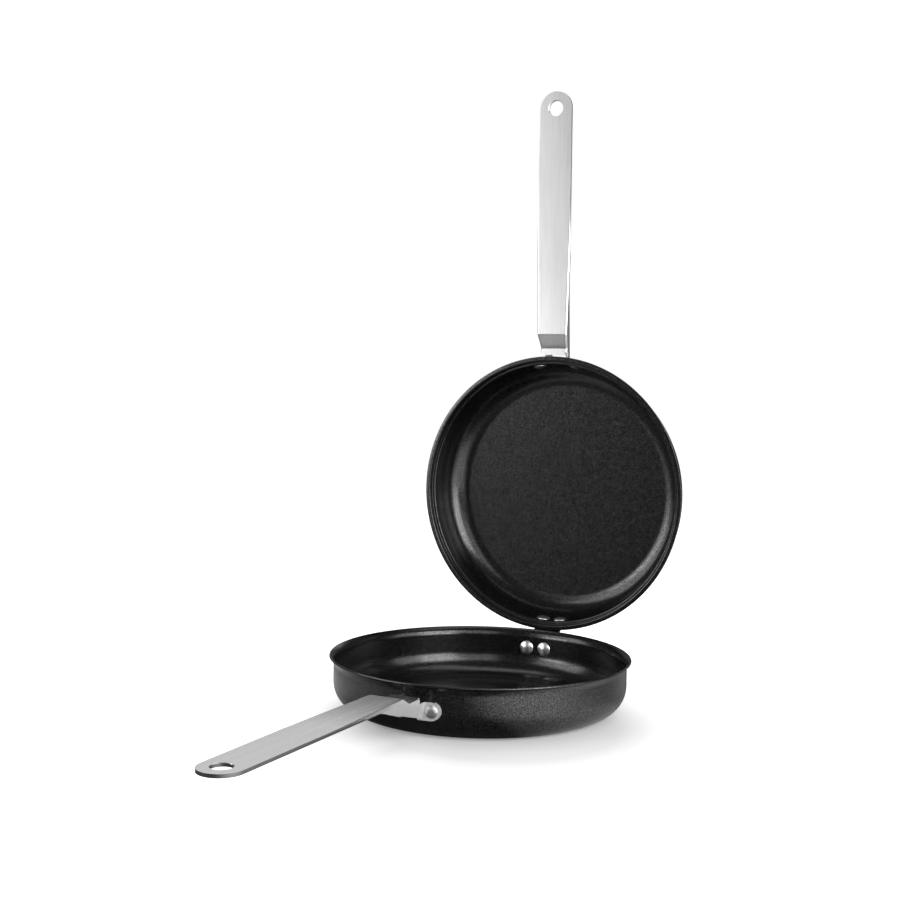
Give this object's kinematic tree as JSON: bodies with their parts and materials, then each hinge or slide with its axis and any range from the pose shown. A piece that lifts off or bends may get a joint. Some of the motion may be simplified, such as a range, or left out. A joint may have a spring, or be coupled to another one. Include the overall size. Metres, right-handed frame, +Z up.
{
  "type": "double sided flip pan",
  "caption": "Double sided flip pan, standing open: shallow coated pans hinged at the rim, with riveted steel strap handles opposite the hinge.",
  "frame": {"origin": "centre of the lower pan's base, on the surface that it stands on", "axes": "+Z up; the handles are on the -Y side and the hinge on the +Y side, its pin along X"},
  "size_m": [0.254, 0.5545, 0.5362],
  "materials": {
    "pan": "satin non-stick coating with fine pale speckles",
    "handle": "brushed along the strap",
    "rivet": "polished",
    "hinge": "satin black",
    "pin": "plain"
  },
  "bodies": {
    "lower": {"lower_pan": "pan", "lower_handle": "handle", "lower_handle_rivet_left": "rivet", "lower_handle_rivet_right": "rivet", "lower_hinge_rivet_left": "rivet", "lower_hinge_rivet_right": "rivet", "lower_hinge_bracket": "hinge", "hinge_pin": "pin"},
    "upper": {"upper_pan": "pan", "upper_handle": "handle", "upper_handle_rivet_left": "rivet", "upper_handle_rivet_right": "rivet", "upper_hinge_rivet_left": "rivet", "upper_hinge_rivet_right": "rivet", "upper_hinge_bracket": "hinge"}
  },
  "joints": [
    {"name": "upper_hinge", "type": "hinge", "parent": "lower", "child": "upper", "pos_m": [0, 0.1327, 0.0345], "axis": [1, 0, 0], "range_deg": [0, 90]}
  ]
}
